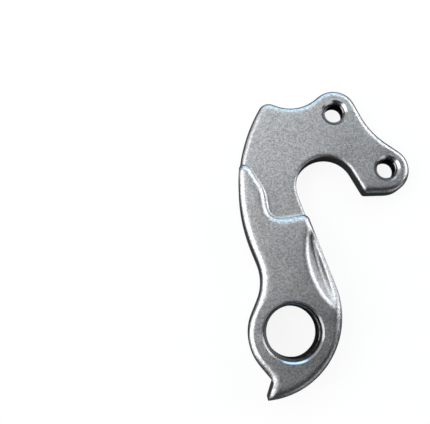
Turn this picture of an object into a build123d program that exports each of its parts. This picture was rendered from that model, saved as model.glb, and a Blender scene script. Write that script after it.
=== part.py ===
"""Bicycle derailleur hanger, forged and machined from one piece of aluminium.

Frame: millimetres, +Z up. The hanger lies on its flat outer face (z = 0) with the inner face up.
The origin is where the axis of the derailleur thread meets the outer face. +Y runs from the thread
up to the screw lugs, and +X is the side the axle slot opens to.
"""

import os
from math import atan2, cos, pi, sin, sqrt, tan
from typing import NamedTuple

from build123d import *


class Round(NamedTuple):
    """A circle the outline wraps round: r > 0 turns the outline left, r < 0 turns it right."""

    x: float
    y: float
    r: float


# Thicknesses, measured up from the outer face
FLANGE_T = 4.2
ARM_T = 7.8

# Derailleur thread, M10 x 1, on the origin
DERAILLEUR_R = 5.0
DERAILLEUR_LEAD_OUTER = 0.45
DERAILLEUR_LEAD_INNER = 0.3

# Fixing screws, M4, each in a round lug
SCREW_1 = (8.6, 39.45)
SCREW_2 = (17.7, 28.9)
SCREW_R = 2.0
SCREW_LEAD_OUTER = 0.25
SCREW_LEAD_INNER = 0.4
LUG_R = 4.25
# From each screw to the centre of its lug's round
LUG_1_SHIFT = (-0.1, 0.0)
LUG_2_SHIFT = (-0.2, -0.15)

# Axle slot: a half round on the axle, open to the lower right
AXLE = (6.8, 25.75)
SLOT_R = 5.45
SLOT_BREAK = 0.25
# Rounded tip of the hook, from the centre of the second lug
HOOK_SHIFT = (-3.1, -3.35)
HOOK_R = 1.0

# Rounded edges of the forging
OUTER_EDGE_R = 0.7
FLANGE_EDGE_R = 1.0
ARM_EDGE_R = 1.1
CORNER_R = 1.25

# Outline. The dip between the lugs, the hollow beside the first lug and the waist are hollows, each
# joined to the rounds on both sides by straight runs; the nose touches the long back from inside
DIP_R = 14.3
DIP_RUN = 2.66
HOLLOW_R = 7.0
HOLLOW_RUN = 0.9
NOSE_ANGLE = 150.7
NOSE_R = 2.0
BACK_EDGE = (-9.05, 25.6)
BACK_R = 30.45
WAIST_R = 8.3
WAIST_RUN = 2.7
HEEL_CENTRE = (0.85, -0.2)
HEEL_R = 8.45
NOTCH_HEADING = 310.388
NOTCH_RUN = 2.4955
NOTCH_R = 0.5
BELLY_EDGE = (8.45, 2.8)
BELLY_R = 14.2

# Stop for the derailleur's angle screw: a flat milled across the tab, square to the outer face
TAB_ANGLE = 268.0
STOP_RUN = 1.0
STOP_HEADING = 252.0

# Shoulder where the arm stands up from the flange: a hollow, then a swell up to the back edge, which
# its rounded corner overshoots a little before it is trimmed flush
SHOULDER_RISE = 12.4
POCKET_HEADING = 189.433
POCKET_RUN = 3.267
POCKET_R = 2.4
SWELL_HEADING = 98.009
SWELL_RUN = 1.6926
SWELL_R = 6.4
SHOULDER_BACK_ANGLE = 175.4
SHOULDER_BACK_PROUD = 0.2
SHOULDER_FOOT_R = 0.5

# Leaf-shaped recess along the arm's slot edge, between two cones on upright axes: one beside the
# arm makes the inner side, a wide one leaves a thin lip along the edge (slopes are from upright).
# The rounded rim leaves the arm's face at a small dip, and a narrow flat runs along the keel
RECESS_AXIS = (16.15, 14.05)
RECESS_R = 13.71
RECESS_RIM_R = 0.85
RECESS_RIM_DIP = 8.0
RECESS_SLOPE = 40.0
RECESS_DEPTH = 5.0
RECESS_KEEL_FLAT = 0.3
LIP_R = 55.0
LIP_T = 0.35
LIP_RISE = 6.7
LIP_SLOPE = 25.0
# Nick across the belly's rounded edge just below the recess, at an angle round the belly
NICK_ANGLE = -7.5
NICK_R = 0.25
NICK_DEPTH = 0.15

# How far up the arm's edge from the belly the slot cutter starts
SLOT_START = 5.5

# Clear distance that cutting shapes run past the part
CLEAR = 4.0
# Lengths closer than this count as equal
SAME = 1e-6


def inside(big: Round, r: float, angle: float) -> Round:
    """A round of radius r that touches a bigger one from inside, at an angle in degrees."""
    reach = big.r - r
    turn = angle * pi / 180
    return Round(big.x + reach * cos(turn), big.y + reach * sin(turn), r)


def between(a: Round, b: Round, r: float, straight: float) -> Round:
    """A hollow of radius r from a to b, joined to each by a straight run of the length given."""
    reach_a = sqrt((a.r + r) ** 2 + straight**2)
    reach_b = sqrt((b.r + r) ** 2 + straight**2)
    gap = sqrt((b.x - a.x) ** 2 + (b.y - a.y) ** 2)
    along = (gap**2 + reach_a**2 - reach_b**2) / (2 * gap)
    aside = sqrt(reach_a**2 - along**2)
    way_x = (b.x - a.x) / gap
    way_y = (b.y - a.y) / gap
    return Round(a.x + way_x * along + way_y * aside, a.y + way_y * along - way_x * aside, -r)


def beyond(a: Round, heading: float, straight: float, r: float) -> Round:
    """A round of radius r after a, past a straight run with the heading in degrees and length given."""
    turn = heading * pi / 180
    aside = r - a.r
    return Round(
        a.x + straight * cos(turn) - aside * sin(turn),
        a.y + straight * sin(turn) + aside * cos(turn),
        r,
    )


def run(a: Round, b: Round) -> tuple[Vector, Vector, float]:
    """The straight run that touches two rounds: its start, its end and its heading."""
    gap_x = b.x - a.x
    gap_y = b.y - a.y
    step = b.r - a.r
    length = sqrt(max(gap_x**2 + gap_y**2 - step**2, 0.0))
    if length < SAME:
        length = 0.0
    heading = atan2(gap_y, gap_x) - atan2(step, length)
    left = Vector(-sin(heading), cos(heading))
    return Vector(a.x, a.y) - left * a.r, Vector(b.x, b.y) - left * b.r, heading


def draw_round(centre: Round, before: float, after: float) -> None:
    """Draw the arc of one round between the headings of the runs before and after it."""
    turn = (after - before) % (2 * pi)
    if centre.r < 0:
        turn -= 2 * pi
    points = []
    for heading in (before, before + turn / 2, after):
        left = Vector(-sin(heading), cos(heading))
        points.append(Vector(centre.x, centre.y) - left * centre.r)
    ThreePointArc(*points)


def draw_outline(rounds: list[Round]) -> None:
    """Draw a closed outline of straight runs and arcs round the circles given."""
    runs = [run(a, b) for a, b in zip(rounds, rounds[1:] + rounds[:1])]
    for index, centre in enumerate(rounds):
        start, end, heading = runs[index]
        draw_round(centre, runs[index - 1][2], heading)
        if (end - start).length > SAME:
            Line(start, end)


# The rounds of the outline; the flange and the arm share the lower ones
lug_1 = Round(SCREW_1[0] + LUG_1_SHIFT[0], SCREW_1[1] + LUG_1_SHIFT[1], LUG_R)
lug_2 = Round(SCREW_2[0] + LUG_2_SHIFT[0], SCREW_2[1] + LUG_2_SHIFT[1], LUG_R)
hook = Round(lug_2.x + HOOK_SHIFT[0], lug_2.y + HOOK_SHIFT[1], HOOK_R)
seat = Round(*AXLE, -SLOT_R)
back = Round(BACK_EDGE[0] + BACK_R, BACK_EDGE[1], BACK_R)
nose = inside(back, NOSE_R, NOSE_ANGLE)
dip = between(lug_2, lug_1, DIP_R, DIP_RUN)
hollow = between(lug_1, nose, HOLLOW_R, HOLLOW_RUN)
heel = Round(*HEEL_CENTRE, HEEL_R)
waist = between(back, heel, WAIST_R, WAIST_RUN)
notch = beyond(heel, NOTCH_HEADING, NOTCH_RUN, -NOTCH_R)
belly = Round(BELLY_EDGE[0] - BELLY_R, BELLY_EDGE[1], BELLY_R)
tab = inside(belly, CORNER_R, TAB_ANGLE)
upper = [lug_2, dip, lug_1, hollow, nose]
lower = [back, waist, heel, notch, tab, belly]
proud_back = Round(back.x, back.y, back.r + SHOULDER_BACK_PROUD)
shoulder_back = inside(proud_back, CORNER_R, SHOULDER_BACK_ANGLE)
edge_start, edge_end, edge_heading = run(belly, seat)
edge_way = Vector(cos(edge_heading), sin(edge_heading))
edge_left = Vector(-sin(edge_heading), cos(edge_heading))
front = edge_start + edge_way * SHOULDER_RISE + edge_left * CORNER_R
shoulder_front = Round(front.X, front.Y, CORNER_R)
pocket = beyond(shoulder_front, POCKET_HEADING, POCKET_RUN, -POCKET_R)
swell = beyond(pocket, SWELL_HEADING, SWELL_RUN, SWELL_R)
# Two rounds fill the slot until it is cut: from the arm's edge, then along the hook's lower edge
slot_start = edge_start + edge_way * SLOT_START
fill_low = slot_start - edge_left * CLEAR
low_fill = Round(fill_low.X, fill_low.Y, -CLEAR)
hook_start, hook_end, hook_heading = run(hook, lug_2)
hook_left = Vector(-sin(hook_heading), cos(hook_heading))
fill_high = hook_start - hook_left * CLEAR - Vector(HOOK_R * 2, 0)
high_fill = Round(fill_high.X, fill_high.Y, -CLEAR)

with BuildPart() as plate:
    with BuildSketch():
        with BuildLine():
            draw_outline([low_fill, high_fill] + upper + lower)
        make_face()
    extrude(amount=FLANGE_T)
    fillet(plate.faces().sort_by(Axis.Z)[-1].edges(), FLANGE_EDGE_R)
    fillet(plate.faces().sort_by(Axis.Z)[0].edges(), OUTER_EDGE_R)

    # The axle slot is milled through, so its edges are only broken, not rounded
    with BuildSketch() as slot_cut:
        with BuildLine():
            flank_start, flank_end, flank_heading = run(seat, hook)
            Line(slot_start, edge_end)
            draw_round(seat, edge_heading, flank_heading)
            Line(flank_start, flank_end)
            draw_round(hook, flank_heading, hook_heading)
            Polyline(
                hook_start,
                hook_start + Vector(CLEAR, -2 * CLEAR),
                slot_start + Vector(3 * CLEAR, 0),
                slot_start,
            )
        make_face()
    extrude(slot_cut.sketch, amount=FLANGE_T, mode=Mode.SUBTRACT)
    for face_z, way in ((FLANGE_T, 1), (0, -1)):
        lip = slot_cut.sketch.moved(Location((0, 0, face_z - way * SLOT_BREAK)))
        extrude(lip, amount=way * SLOT_BREAK, taper=-45, mode=Mode.SUBTRACT)

with BuildPart() as recess:
    with BuildSketch(Plane.XZ.offset(-RECESS_AXIS[1]).move(Location((RECESS_AXIS[0], 0, 0)))):
        with BuildLine():
            slope = RECESS_SLOPE * pi / 180
            rim_dip = RECESS_RIM_DIP * pi / 180
            rim_r = RECESS_R - RECESS_RIM_R * (cos(slope) - sin(rim_dip))
            rim_z = ARM_T - RECESS_RIM_R * (cos(rim_dip) - sin(slope))
            foot_z = ARM_T - RECESS_DEPTH
            foot_r = rim_r - (rim_z - foot_z) * tan(slope)
            TangentArc((RECESS_R, ARM_T), (rim_r, rim_z), tangent=(-cos(rim_dip), -sin(rim_dip)))
            Polyline(
                (rim_r, rim_z),
                (foot_r, foot_z),
                (foot_r, ARM_T + CLEAR),
                (RECESS_R, ARM_T + CLEAR),
                (RECESS_R, ARM_T),
            )
        make_face()
    revolve(axis=Axis((*RECESS_AXIS, 0), (0, 0, 1)))
    lip_axis = edge_start + edge_way * LIP_RISE + edge_left * (LIP_T + LIP_R)
    lean = tan(LIP_SLOPE * pi / 180)
    with Locations((lip_axis.X, lip_axis.Y, foot_z)):
        Cone(
            LIP_R - RECESS_DEPTH * lean,
            LIP_R + CLEAR * lean,
            RECESS_DEPTH + CLEAR,
            align=(Align.CENTER, Align.CENTER, Align.MIN),
            mode=Mode.INTERSECT,
        )
    chamfer(recess.edges().sort_by(Axis.Z)[0], RECESS_KEEL_FLAT)

with BuildPart() as hanger:
    with BuildSketch(Plane.XY.offset(OUTER_EDGE_R)):
        with BuildLine():
            draw_outline([shoulder_front, pocket, swell, shoulder_back] + lower)
        make_face()
    extrude(amount=ARM_T - OUTER_EDGE_R)
    fillet(hanger.faces().sort_by(Axis.Z)[-1].edges(), ARM_EDGE_R)
    add(plate)
    joined = hanger.edges(Select.NEW)
    fillet(joined.filter_by(lambda edge: abs(edge.center().Z - FLANGE_T) < SAME), SHOULDER_FOOT_R)

    # The shoulder's back corner, trimmed flush with the back edge
    with BuildSketch():
        with Locations((shoulder_back.x, shoulder_back.y)):
            Rectangle(2 * CLEAR, 2 * CLEAR)
        with Locations((back.x, back.y)):
            Circle(back.r, mode=Mode.SUBTRACT)
    extrude(amount=ARM_T, mode=Mode.SUBTRACT)

    # Stop flat: takes the rounded end off the tab, from the inner corner of the notch outwards
    with BuildSketch():
        with BuildLine():
            heel_start, heel_end, heel_heading = run(heel, notch)
            corner = heel_end + Vector(cos(heel_heading), sin(heel_heading)) * STOP_RUN
            stop = STOP_HEADING * pi / 180
            tip = corner + Vector(cos(stop), sin(stop)) * 2 * CLEAR
            Polyline(
                corner,
                heel_end,
                (notch.x, notch.y),
                (notch.x - 2 * CLEAR, notch.y),
                (notch.x - 2 * CLEAR, tip.Y),
                tip,
                corner,
            )
        make_face()
    extrude(amount=ARM_T, mode=Mode.SUBTRACT)

    add(recess, mode=Mode.SUBTRACT)
    nick = NICK_ANGLE * pi / 180
    across = Vector(cos(nick), sin(nick), -1).normalized()
    out = Vector(cos(nick), sin(nick), 1).normalized()
    core_r = belly.r - ARM_EDGE_R
    core = Vector(belly.x + core_r * cos(nick), belly.y + core_r * sin(nick), ARM_T - ARM_EDGE_R)
    with Locations(Plane(core + out * (ARM_EDGE_R - NICK_DEPTH + NICK_R), z_dir=across)):
        Cylinder(NICK_R, 2 * ARM_EDGE_R, mode=Mode.SUBTRACT)

    # Threaded holes, bored to the thread's outside diameter, with a lead chamfer at each end
    Hole(DERAILLEUR_R)
    with Locations(SCREW_1, SCREW_2):
        Hole(SCREW_R)
    for bore_r, face_z, lead in (
        (DERAILLEUR_R, 0, DERAILLEUR_LEAD_OUTER),
        (DERAILLEUR_R, ARM_T, DERAILLEUR_LEAD_INNER),
        (SCREW_R, 0, SCREW_LEAD_OUTER),
        (SCREW_R, FLANGE_T, SCREW_LEAD_INNER),
    ):
        circles = hanger.edges().filter_by(GeomType.CIRCLE).filter_by(lambda edge: edge.is_closed)
        level = circles.filter_by(lambda edge: abs(edge.arc_center.Z - face_z) < SAME)
        chamfer(level.filter_by(lambda edge: abs(edge.radius - bore_r) < SAME), lead)

hanger.part.label = "hanger"
os.makedirs("parts", exist_ok=True)
export_step(hanger.part, "parts/hanger.step")
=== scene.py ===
"""Looks of a bicycle derailleur hanger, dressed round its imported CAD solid.

The frame is the CAD's, in metres: the hanger lies on its flat outer face with the inner face up.
Sizes and places below are in millimetres, which MM turns to metres, and angles are in degrees.
"""

import logging
from dataclasses import dataclass, field
from enum import Enum
from math import cos, pi, radians, sin

import bpy
from bpy.types import Material, Node, NodeSocket, NodeTree, Object, World
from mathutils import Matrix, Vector


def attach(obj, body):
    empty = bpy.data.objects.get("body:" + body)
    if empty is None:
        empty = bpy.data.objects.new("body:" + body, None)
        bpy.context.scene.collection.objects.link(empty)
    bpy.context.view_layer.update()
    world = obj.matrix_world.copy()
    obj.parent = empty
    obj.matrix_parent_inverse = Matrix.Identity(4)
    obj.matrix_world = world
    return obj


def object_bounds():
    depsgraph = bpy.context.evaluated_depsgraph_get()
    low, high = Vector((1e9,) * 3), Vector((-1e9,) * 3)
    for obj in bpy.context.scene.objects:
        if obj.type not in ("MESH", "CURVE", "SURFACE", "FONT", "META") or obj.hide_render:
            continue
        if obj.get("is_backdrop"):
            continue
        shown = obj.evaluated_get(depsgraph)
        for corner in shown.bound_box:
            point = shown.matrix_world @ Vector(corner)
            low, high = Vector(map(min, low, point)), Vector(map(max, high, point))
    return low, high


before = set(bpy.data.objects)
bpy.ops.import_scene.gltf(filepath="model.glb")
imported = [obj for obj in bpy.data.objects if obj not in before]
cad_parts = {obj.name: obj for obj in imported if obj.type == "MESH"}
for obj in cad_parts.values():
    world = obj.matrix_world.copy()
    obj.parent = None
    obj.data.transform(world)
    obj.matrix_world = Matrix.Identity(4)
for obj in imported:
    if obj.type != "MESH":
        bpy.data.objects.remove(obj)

LOG = logging.getLogger("hanger")
MM = 0.001
IMAGE_WIDTH = 430
WHITE = "#ffffff"
# Nearly all of a noise texture's values lie between these two
NOISE_LOW = 0.3
NOISE_HIGH = 0.7
# A metric nut thread's ridge, in pitches: its depth, and its widths at the foot and at the crest
THREAD_DEPTH = 0.5413
THREAD_FOOT = 7 / 8
THREAD_CREST = 1 / 4


def linear(colour: str) -> tuple[float, float, float, float]:
    """Turn an sRGB hex colour to linear RGBA.

    Args:
        colour: Six hex digits after a hash, such as "#b4b5b8".

    Returns:
        The linear red, green and blue, and an alpha of 1.
    """
    channels = []
    for start in (1, 3, 5):
        value = int(colour[start : start + 2], 16) / 255
        channels.append(value / 12.92 if value <= 0.04045 else ((value + 0.055) / 1.055) ** 2.4)
    return (*channels, 1.0)


def add_node(tree: NodeTree, kind: str, settings: dict, inputs: dict) -> Node:
    """Add a shader node with its settings, values and links.

    Args:
        tree: The node tree that takes the node.
        kind: The node's type name, without its "ShaderNode" prefix.
        settings: The node's own properties by name.
        inputs: Values or output sockets by input name or number.

    Returns:
        The new node.
    """
    node = tree.nodes.new("ShaderNode" + kind)
    for name, value in settings.items():
        setattr(node, name, value)
    for name, value in inputs.items():
        if isinstance(value, NodeSocket):
            tree.links.new(value, node.inputs[name])
        else:
            node.inputs[name].default_value = value
    return node


def empty_tree(owner: Material | World) -> NodeTree:
    """Switch a material or world to nodes and empty its tree.

    Args:
        owner: The material or world.

    Returns:
        Its node tree, with no nodes.
    """
    owner.use_nodes = True
    owner.node_tree.nodes.clear()
    return owner.node_tree


def begin_piece() -> None:
    """Leave edit mode and deselect everything, so that the next operator acts on the new piece alone."""
    if bpy.context.object and bpy.context.object.mode != "OBJECT":
        bpy.ops.object.mode_set(mode="OBJECT")
    bpy.ops.object.select_all(action="DESELECT")


class HoleEnd(Enum):
    """The two ends of a tapped hole, as the way out along the frame's z axis."""

    OUTER = -1
    INNER = 1


@dataclass
class TappedHole:
    """A metric thread cut in one of the hanger's bores, with a 45 degree lead at each end."""

    name: str
    centre: tuple[float, float]
    major_d: float
    pitch: float
    # The height of the inner face, where the hole ends
    face: float
    lead_outer: float
    lead_inner: float
    steps: int
    # The thread's foot is sunk this far in the bore's wall, so that no gap shows
    sunk: float = 0.02
    # Turns beyond the hole's whole ones, so that the thread stands out at both ends until it is cut
    spare_turns: int = 2
    # How far the leads' cutters reach out of the hole, in pitches
    overrun: float = 3.0
    # Edges that turn by less than this are shaded smooth
    smooth_angle: float = 28.0

    def build(self) -> Object:
        """Model the thread's ridge, trimmed by the leads.

        Returns:
            The finished piece, with its place in its mesh.
        """
        begin_piece()
        ridge = self._profile()
        self._wind(ridge)
        for end in HoleEnd:
            self._cut_lead(ridge, end)
        bpy.ops.object.transform_apply(location=True, rotation=True, scale=True)
        bpy.ops.object.mode_set(mode="EDIT")
        bpy.ops.mesh.select_all(action="SELECT")
        bpy.ops.mesh.normals_make_consistent(inside=False)
        bpy.ops.object.mode_set(mode="OBJECT")
        bpy.ops.object.shade_smooth_by_angle(angle=radians(self.smooth_angle))
        return ridge

    def _profile(self) -> Object:
        """Model the thread's section, wide at the wall and narrow at the crest, one turn below the hole.

        Returns:
            The flat piece, standing in the x-z plane beside the hole's axis.
        """
        foot_w = THREAD_FOOT * self.pitch
        crest_w = THREAD_CREST * self.pitch
        depth = THREAD_DEPTH * self.pitch + self.sunk
        middle = self.major_d / 2 + self.sunk - depth / 2
        bpy.ops.mesh.primitive_plane_add(size=1.0, rotation=(pi / 2, 0.0, 0.0))
        ridge = bpy.context.object
        ridge.name = self.name
        ridge.scale = (depth * MM, foot_w * MM, 1.0)
        bpy.ops.object.transform_apply(location=True, rotation=True, scale=True)
        for corner in ridge.data.vertices:
            corner.select = corner.co.x < 0
        bpy.ops.object.mode_set(mode="EDIT")
        bpy.ops.mesh.select_mode(type="VERT")
        bpy.ops.transform.resize(value=(1.0, 1.0, crest_w / foot_w))
        bpy.ops.mesh.select_all(action="SELECT")
        bpy.ops.transform.translate(value=(middle * MM, 0.0, -self.pitch * MM))
        bpy.ops.object.mode_set(mode="OBJECT")
        return ridge

    def _wind(self, ridge: Object) -> None:
        """Wind the section up through the hole, close its two ends and put it on the hole's axis.

        Args:
            ridge: The thread's section.
        """
        screw = ridge.modifiers.new("thread", "SCREW")
        screw.axis = "Z"
        screw.angle = 2 * pi
        screw.screw_offset = self.pitch * MM
        screw.iterations = int(self.face / self.pitch) + self.spare_turns
        screw.steps = self.steps
        screw.render_steps = self.steps
        bpy.ops.object.modifier_apply(modifier=screw.name)
        bpy.ops.object.mode_set(mode="EDIT")
        bpy.ops.mesh.select_all(action="SELECT")
        bpy.ops.mesh.fill_holes(sides=4)
        bpy.ops.mesh.select_all(action="SELECT")
        bpy.ops.mesh.normals_make_consistent(inside=False)
        bpy.ops.object.mode_set(mode="OBJECT")
        ridge.location = (self.centre[0] * MM, self.centre[1] * MM, 0.0)

    def _cut_lead(self, ridge: Object, end: HoleEnd) -> None:
        """Cut one end of the thread to the hole's 45 degree lead, and leave the thread selected.

        Args:
            ridge: The wound thread.
            end: The end to cut.
        """
        inner = end is HoleEnd.INNER
        past = self.overrun * self.pitch
        lead = self.lead_inner if inner else self.lead_outer
        mouth = self.face if inner else 0.0
        reach = self.major_d / 2 + lead + past
        begin_piece()
        bpy.ops.mesh.primitive_cone_add(
            vertices=self.steps,
            radius1=0.0 if inner else reach * MM,
            radius2=reach * MM if inner else 0.0,
            depth=reach * MM,
            location=(
                self.centre[0] * MM,
                self.centre[1] * MM,
                (mouth + end.value * (past - reach / 2)) * MM,
            ),
        )
        cutter = bpy.context.object
        begin_piece()
        bpy.context.view_layer.objects.active = ridge
        ridge.select_set(True)
        cut = ridge.modifiers.new("lead", "BOOLEAN")
        cut.operation = "DIFFERENCE"
        cut.object = cutter
        bpy.ops.object.modifier_apply(modifier=cut.name)
        bpy.data.objects.remove(cutter)


@dataclass(frozen=True)
class BlastedAluminium:
    """Forged aluminium, bead-blasted and clear anodised: satin grey with a fine sparkle of dents.

    The tapped holes are cut after blasting, so inside them the metal is smoother and has no dents.
    """

    colour: str = "#d0d1d3"
    dent_colour: str = "#97989a"
    roughness: float = 0.3
    roughness_spread: float = 0.03
    bore_roughness: float = 0.24
    # Blasting dents are about 0.1 mm; they are drawn twice as wide, as fine as the render can show
    dent: float = 0.2
    dent_depth: float = 0.02
    # The patches in which the roughness varies
    cloud: float = 6.0
    # How far blasting has softened the edges on the flange and on the arm: the flange's wear holds up to
    # one height and the arm's from another, and in between the one passes into the other
    flange_wear: float = 0.85
    arm_wear: float = 1.45
    flange_wear_to: float = 4.4
    arm_wear_from: float = 6.8
    wear_samples: int = 8

    def material(self, holes: list[TappedHole]) -> Material:
        """Build the material.

        Args:
            holes: The tapped holes, whose bores and leads are left smooth.

        Returns:
            The new material.
        """
        made = bpy.data.materials.new("bead_blasted_anodised_aluminium")
        tree = empty_tree(made)
        spot = add_node(tree, "TexCoord", {}, {}).outputs["Object"]
        blasted = self._away_from(tree, spot, holes, 0.0)
        clear = self._away_from(tree, spot, holes, self.arm_wear)
        edges = self._worn_edges(tree, spot, clear)
        shader = add_node(
            tree,
            "BsdfPrincipled",
            {},
            {
                "Base Color": self._colour(tree, spot, blasted),
                "Metallic": 1.0,
                "Roughness": self._roughness(tree, spot, blasted),
                "Normal": self._dents(tree, spot, blasted, edges),
            },
        )
        add_node(tree, "OutputMaterial", {}, {"Surface": shader.outputs["BSDF"]})
        return made

    @staticmethod
    def _away_from(tree: NodeTree, spot: NodeSocket, holes: list[TappedHole], margin: float) -> NodeSocket:
        """Add the mask that is 0 in the tapped holes and close round them, and 1 elsewhere.

        Args:
            tree: The material's node tree.
            spot: The place on the piece.
            holes: The tapped holes.
            margin: How far round each hole's lead the mask stays 0.

        Returns:
            The mask's output socket.
        """
        flat = add_node(tree, "VectorMath", {"operation": "MULTIPLY"}, {0: spot, 1: (1.0, 1.0, 0.0)})
        mask = 1.0
        for hole in holes:
            reach = add_node(
                tree,
                "VectorMath",
                {"operation": "DISTANCE"},
                {0: flat.outputs["Vector"], 1: (hole.centre[0] * MM, hole.centre[1] * MM, 0.0)},
            )
            outside = add_node(
                tree,
                "Math",
                {"operation": "GREATER_THAN"},
                {0: reach.outputs["Value"], 1: (hole.major_d / 2 + hole.lead_inner + margin) * MM},
            )
            both = add_node(
                tree, "Math", {"operation": "MULTIPLY"}, {0: mask, 1: outside.outputs["Value"]}
            )
            mask = both.outputs["Value"]
        return mask

    def _colour(self, tree: NodeTree, spot: NodeSocket, blasted: NodeSocket) -> NodeSocket:
        """Add the colour: one shade for each dent of the blasted skin, and the clear metal in the holes.

        Args:
            tree: The material's node tree.
            spot: The place on the piece.
            blasted: The mask of the blasted skin.

        Returns:
            The colour's output socket.
        """
        grains = add_node(tree, "TexVoronoi", {}, {"Vector": spot, "Scale": 1 / (self.dent * MM)})
        light = add_node(tree, "SeparateColor", {}, {"Color": grains.outputs["Color"]})
        dark = add_node(tree, "Math", {"operation": "SUBTRACT"}, {0: 1.0, 1: light.outputs["Red"]})
        kept = add_node(tree, "Math", {"operation": "MULTIPLY"}, {0: dark.outputs["Value"], 1: blasted})
        colour = add_node(
            tree,
            "Mix",
            {"data_type": "RGBA"},
            {"Factor": kept.outputs["Value"], "A": linear(self.colour), "B": linear(self.dent_colour)},
        )
        return colour.outputs["Result"]

    def _roughness(self, tree: NodeTree, spot: NodeSocket, blasted: NodeSocket) -> NodeSocket:
        """Add the roughness: soft patches on the blasted skin, and an even polish in the holes.

        Args:
            tree: The material's node tree.
            spot: The place on the piece.
            blasted: The mask of the blasted skin.

        Returns:
            The roughness's output socket.
        """
        clouds = add_node(
            tree, "TexNoise", {}, {"Vector": spot, "Scale": 1 / (self.cloud * MM), "Detail": 2.0}
        )
        patches = add_node(
            tree,
            "MapRange",
            {},
            {
                "Value": clouds.outputs["Fac"],
                "From Min": NOISE_LOW,
                "From Max": NOISE_HIGH,
                "To Min": self.roughness - self.roughness_spread,
                "To Max": self.roughness + self.roughness_spread,
            },
        )
        rough = add_node(
            tree,
            "Mix",
            {"data_type": "FLOAT"},
            {"Factor": blasted, "A": self.bore_roughness, "B": patches.outputs["Result"]},
        )
        return rough.outputs["Result"]

    def _worn_edges(self, tree: NodeTree, spot: NodeSocket, clear: NodeSocket) -> NodeSocket:
        """Add the slope of the edges that blasting has softened, more on the arm than on the flange.

        Args:
            tree: The material's node tree.
            spot: The place on the piece.
            clear: The mask of what lies well away from the holes, whose rims stay crisp.

        Returns:
            The slope's output socket.
        """
        height = add_node(tree, "SeparateXYZ", {}, {"Vector": spot})
        wear = add_node(
            tree,
            "MapRange",
            {},
            {
                "Value": height.outputs["Z"],
                "From Min": self.flange_wear_to * MM,
                "From Max": self.arm_wear_from * MM,
                "To Min": self.flange_wear * MM,
                "To Max": self.arm_wear * MM,
            },
        )
        worn = add_node(tree, "Bevel", {"samples": self.wear_samples}, {"Radius": wear.outputs["Result"]})
        crisp = add_node(tree, "NewGeometry", {}, {})
        edges = add_node(
            tree,
            "Mix",
            {"data_type": "VECTOR"},
            {"Factor": clear, "A": crisp.outputs["Normal"], "B": worn.outputs["Normal"]},
        )
        return edges.outputs["Result"]

    def _dents(
        self, tree: NodeTree, spot: NodeSocket, blasted: NodeSocket, edges: NodeSocket
    ) -> NodeSocket:
        """Add the slope of the dents on top of that of the edges.

        Args:
            tree: The material's node tree.
            spot: The place on the piece.
            blasted: The mask of the blasted skin.
            edges: The slope of the edges.

        Returns:
            The slope's output socket.
        """
        dents = add_node(
            tree, "TexNoise", {}, {"Vector": spot, "Scale": 1 / (self.dent * MM), "Detail": 1.0}
        )
        bump = add_node(
            tree,
            "Bump",
            {},
            {
                "Strength": blasted,
                "Distance": self.dent_depth * MM,
                "Height": dents.outputs["Fac"],
                "Normal": edges,
            },
        )
        return bump.outputs["Normal"]


@dataclass(frozen=True)
class TappedAluminiumPaintedShade:
    """Aluminium as the tap leaves it: smoother than the blasted skin, with fine rings, and painted darker
    as shade inside the holes.
    """

    # Painted shade: darker than bare aluminium is, so that the holes' walls render dark
    colour: str = "#7c7d7f"
    roughness: float = 0.18
    roughness_spread: float = 0.06
    # A tap's marks are finer; they are drawn as wide and as long as they need to show
    ring: float = 0.2
    ring_length: float = 1.0

    def material(self) -> Material:
        """Build the material.

        Returns:
            The new material.
        """
        made = bpy.data.materials.new("tapped_aluminium_painted_shade")
        tree = empty_tree(made)
        spot = add_node(tree, "TexCoord", {}, {}).outputs["Object"]
        stretch = self.ring / self.ring_length
        drawn_out = add_node(tree, "Mapping", {}, {"Vector": spot, "Scale": (stretch, stretch, 1.0)})
        rings = add_node(
            tree,
            "TexNoise",
            {},
            {"Vector": drawn_out.outputs["Vector"], "Scale": 1 / (self.ring * MM), "Detail": 2.0},
        )
        rough = add_node(
            tree,
            "MapRange",
            {},
            {
                "Value": rings.outputs["Fac"],
                "From Min": NOISE_LOW,
                "From Max": NOISE_HIGH,
                "To Min": self.roughness - self.roughness_spread,
                "To Max": self.roughness + self.roughness_spread,
            },
        )
        shader = add_node(
            tree,
            "BsdfPrincipled",
            {},
            {"Base Color": linear(self.colour), "Metallic": 1.0, "Roughness": rough.outputs["Result"]},
        )
        add_node(tree, "OutputMaterial", {}, {"Surface": shader.outputs["BSDF"]})
        return made


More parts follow.
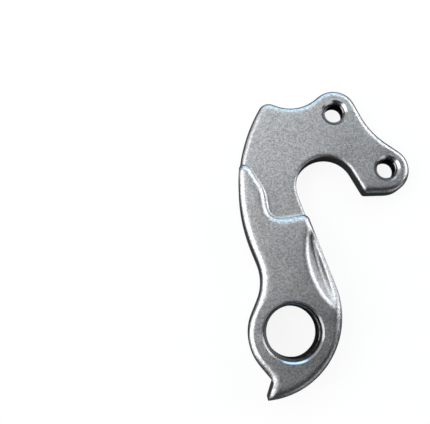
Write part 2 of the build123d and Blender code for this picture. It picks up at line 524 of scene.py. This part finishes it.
@dataclass
class Hanger:
    """The hanger: its CAD node with its finish, and the threads in its three holes."""

    node: str = "hanger"
    slot: str = "satin_aluminium"
    arm_t: float = 7.8
    flange_t: float = 4.2
    screws: tuple[tuple[float, float], ...] = ((8.6, 39.45), (17.7, 28.9))
    metal: BlastedAluminium = field(default_factory=BlastedAluminium)
    cut_metal: TappedAluminiumPaintedShade = field(default_factory=TappedAluminiumPaintedShade)

    def holes(self) -> list[TappedHole]:
        """List the tapped holes: the derailleur's M10 x 1 at the origin, and the screws' M4.

        Returns:
            The three holes.
        """
        holes = [
            TappedHole(
                name="derailleur_thread",
                centre=(0.0, 0.0),
                major_d=10.0,
                pitch=1.0,
                face=self.arm_t,
                lead_outer=0.45,
                lead_inner=0.3,
                steps=96,
            )
        ]
        for number, centre in enumerate(self.screws, start=1):
            screw_hole = TappedHole(
                name=f"screw_thread_{number}",
                centre=centre,
                major_d=4.0,
                pitch=0.7,
                face=self.flange_t,
                lead_outer=0.25,
                lead_inner=0.4,
                steps=64,
            )
            holes.append(screw_hole)
        return holes

    def build(self) -> None:
        """Dress the CAD node and add the threads."""
        holes = self.holes()
        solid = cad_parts[self.node]
        solid.data.materials.clear()
        solid.data.materials.append(self.metal.material(holes))
        LOG.info("%s: CAD node, blasted", self.node)
        finish = self.cut_metal.material()
        for hole in holes:
            thread = hole.build()
            thread.data.materials.append(finish)
            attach(thread, "root")
            faces = len(thread.data.polygons)
            LOG.info("%s: M%g x %g, %d faces", hole.name, hole.major_d, hole.pitch, faces)


@dataclass(frozen=True)
class Softbox:
    """A soft lamp, placed by its direction from the hanger's middle, where azimuth 0 is +X."""

    name: str
    azimuth: float
    elevation: float
    width: float
    height: float
    radiance: float
    colour: str = WHITE
    distance: float = 500.0

    def build(self, aim: Vector) -> None:
        """Add the lamp.

        Args:
            aim: The point that it faces, in metres.
        """
        lamp = bpy.data.lights.new(self.name, "AREA")
        lamp.shape = "RECTANGLE"
        lamp.size = self.width * MM
        lamp.size_y = self.height * MM
        lamp.energy = self.radiance * pi * lamp.size * lamp.size_y
        lamp.color = linear(self.colour)[:3]
        placed = bpy.data.objects.new(self.name, lamp)
        turn = radians(self.azimuth)
        rise = radians(self.elevation)
        out = Vector((cos(rise) * cos(turn), cos(rise) * sin(turn), sin(rise)))
        placed.location = aim + out * self.distance * MM
        placed.rotation_euler = out.to_track_quat("Z", "Y").to_euler()
        placed.visible_camera = False
        bpy.context.scene.collection.objects.link(placed)


@dataclass(frozen=True)
class Cards:
    """Matt cards round the set, which draw the dark lines along the metal's edges.

    A round screen stands about the set, and half of its top is covered. A broad dark card lies under the
    hanger, and a small pale one beside it lightens the recess. The camera sees none of them.
    """

    dark: str = "#3c3c3c"
    pale: str = "#a2adb4"
    screen_r: float = 900.0
    screen_h: float = 1000.0
    screen_sides: int = 96
    # The side that the top covers, where azimuth 0 is +X
    top_azimuth: float = 330.0
    under_at: tuple[float, float, float] = (6.3, 16.2, 0.02)
    under_size: tuple[float, float] = (260.0, 260.0)
    beside_at: tuple[float, float, float] = (29.0, 8.5, 0.04)
    beside_size: tuple[float, float] = (32.0, 15.0)

    def build(self) -> None:
        """Set up the screen, its half top and the two cards on the floor."""
        dark = self._material("matt_dark_card", self.dark)
        pale = self._material("matt_pale_card", self.pale)
        self._dress(self._screen(), dark)
        self._dress(self._top(), dark)
        self._dress(self._lay("dark_under", self.under_at, self.under_size), dark)
        self._dress(self._lay("pale_beside", self.beside_at, self.beside_size), pale)

    @staticmethod
    def _material(name: str, colour: str) -> Material:
        """Build a card's material: a plain colour with no shine.

        Args:
            name: The material's name.
            colour: Its colour as sRGB hex.

        Returns:
            The new material.
        """
        made = bpy.data.materials.new(name)
        tree = empty_tree(made)
        matt = add_node(tree, "BsdfDiffuse", {}, {"Color": linear(colour)})
        add_node(tree, "OutputMaterial", {}, {"Surface": matt.outputs["BSDF"]})
        return made

    @staticmethod
    def _dress(card: Object, made: Material) -> None:
        """Give a card its material, hide it from the camera and set it apart from the hanger.

        Args:
            card: The card.
            made: Its material.
        """
        card.data.materials.append(made)
        card.visible_camera = False
        card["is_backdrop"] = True
        LOG.info("%s", card.name)

    def _screen(self) -> Object:
        """Stand the round screen about the set.

        Returns:
            The screen.
        """
        begin_piece()
        bpy.ops.mesh.primitive_cylinder_add(
            vertices=self.screen_sides,
            radius=self.screen_r * MM,
            depth=self.screen_h * MM,
            end_fill_type="NOTHING",
            location=(0.0, 0.0, self.screen_h / 2 * MM),
        )
        screen = bpy.context.object
        screen.name = "dark_screen"
        return screen

    def _top(self) -> Object:
        """Cover half of the screen's top.

        Returns:
            The cover.
        """
        begin_piece()
        turn = radians(self.top_azimuth)
        reach = self.screen_r / 2 * MM
        bpy.ops.mesh.primitive_plane_add(
            size=1.0,
            location=(reach * cos(turn), reach * sin(turn), self.screen_h * MM),
            rotation=(0.0, 0.0, turn),
        )
        top = bpy.context.object
        top.name = "dark_top"
        top.scale = (self.screen_r * MM, 2 * self.screen_r * MM, 1.0)
        return top

    @staticmethod
    def _lay(name: str, middle: tuple[float, float, float], size: tuple[float, float]) -> Object:
        """Lay a card on the floor, where only the metal shows it and the floor stays evenly lit.

        Args:
            name: The card's name.
            middle: Its middle.
            size: Its sides along x and y.

        Returns:
            The card.
        """
        begin_piece()
        bpy.ops.mesh.primitive_plane_add(size=1.0, location=[value * MM for value in middle])
        card = bpy.context.object
        card.name = name
        card.scale = (size[0] * MM, size[1] * MM, 1.0)
        card.visible_diffuse = False
        card.visible_shadow = False
        return card


@dataclass
class Studio:
    """A white floor, soft lamps, cards and the camera."""

    floor_r: float = 6000.0
    floor_sides: int = 64
    floor_colour: str = "#f4f4f4"
    # The share of the floor's white that is its own, and the strength of the white world
    glow: float = 0.9
    sky: float = 1.0
    camera_at: tuple[float, float, float] = (-8.33, 3.31, 115.0)
    camera_turn: tuple[float, float, float] = (9.13, 2.57, 0.0)
    camera_near: float = 1.0
    camera_far: float = 100000.0
    # Focal length in pixels of the image
    focal: float = 623.5
    sensor: float = 36.0

    def lamps(self) -> list[Softbox]:
        """List the lamps: broad ones round the left, back and right, one in front and two low strips.

        Returns:
            The seven lamps.
        """
        return [
            Softbox("lamp_left", azimuth=190.0, elevation=36.0, width=480.0, height=520.0, radiance=2.8),
            Softbox(
                "lamp_back_left", azimuth=138.0, elevation=36.0, width=400.0, height=520.0, radiance=0.85
            ),
            Softbox(
                "lamp_back",
                azimuth=86.0,
                elevation=32.0,
                width=520.0,
                height=390.0,
                radiance=1.9,
                colour="#cbe7f3",
            ),
            Softbox("lamp_right", azimuth=27.0, elevation=30.0, width=480.0, height=420.0, radiance=2.5),
            Softbox("lamp_front", azimuth=316.0, elevation=15.0, width=460.0, height=200.0, radiance=0.8),
            Softbox(
                "lamp_low_back",
                azimuth=90.0,
                elevation=8.0,
                width=460.0,
                height=130.0,
                radiance=2.6,
                colour="#aad6ff",
            ),
            Softbox("lamp_low_right", azimuth=24.0, elevation=7.0, width=320.0, height=110.0, radiance=1.8),
        ]

    def build(self) -> None:
        """Set up the floor, the background, the lamps, the cards, the camera and the view."""
        self._floor()
        self._background()
        low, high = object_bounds()
        for lamp in self.lamps():
            lamp.build((low + high) / 2)
            LOG.info("%s", lamp.name)
        Cards().build()
        self._camera()
        bpy.context.scene.view_settings.view_transform = "Standard"

    @staticmethod
    def _seen(tree: NodeTree) -> NodeSocket:
        """Add a mask of the rays that see the background: from the camera, reflected and passed through.

        Args:
            tree: The node tree that takes the mask.

        Returns:
            The mask's output socket.
        """
        rays = add_node(tree, "LightPath", {}, {})
        mask = rays.outputs["Is Camera Ray"]
        for kind in ("Is Glossy Ray", "Is Transmission Ray"):
            more = add_node(tree, "Math", {"operation": "MAXIMUM"}, {0: mask, 1: rays.outputs[kind]})
            mask = more.outputs["Value"]
        return mask

    def _floor(self) -> None:
        """Lay the floor: white, with a part of its white its own, so that the shadow on it stays pale."""
        begin_piece()
        bpy.ops.mesh.primitive_circle_add(
            vertices=self.floor_sides, radius=self.floor_r * MM, fill_type="NGON"
        )
        floor = bpy.context.object
        floor.name = "studio_floor"
        made = bpy.data.materials.new("white_studio_floor")
        tree = empty_tree(made)
        matt = add_node(tree, "BsdfDiffuse", {}, {"Color": linear(self.floor_colour)})
        glow = add_node(tree, "Emission", {}, {"Color": linear(WHITE), "Strength": 1.0})
        share = add_node(tree, "Math", {"operation": "MULTIPLY"}, {0: self._seen(tree), 1: self.glow})
        mixed = add_node(
            tree,
            "MixShader",
            {},
            {0: share.outputs["Value"], 1: matt.outputs["BSDF"], 2: glow.outputs["Emission"]},
        )
        add_node(tree, "OutputMaterial", {}, {"Surface": mixed.outputs["Shader"]})
        made.cycles.emission_sampling = "NONE"
        floor.data.materials.append(made)
        floor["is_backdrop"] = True
        LOG.info("%s", floor.name)

    def _background(self) -> None:
        """Set the world: plain white."""
        world = bpy.data.worlds.new("studio")
        bpy.context.scene.world = world
        tree = empty_tree(world)
        light = add_node(tree, "Background", {}, {"Color": linear(WHITE), "Strength": self.sky})
        add_node(tree, "OutputWorld", {}, {"Surface": light.outputs["Background"]})

    def _camera(self) -> None:
        """Place the camera at the photograph's viewpoint."""
        data = bpy.data.cameras.new("camera")
        data.sensor_width = self.sensor
        data.lens = self.focal / IMAGE_WIDTH * self.sensor
        data.clip_start = self.camera_near * MM
        data.clip_end = self.camera_far * MM
        camera = bpy.data.objects.new("camera", data)
        camera.location = [value * MM for value in self.camera_at]
        camera.rotation_euler = [radians(value) for value in self.camera_turn]
        bpy.context.scene.collection.objects.link(camera)
        bpy.context.scene.camera = camera


def main() -> None:
    """Build the hanger and the studio round it."""
    logging.basicConfig(level=logging.INFO, format="%(name)s %(message)s")
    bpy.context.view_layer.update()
    Hanger().build()
    Studio().build()


if __name__ == "__main__":
    main()
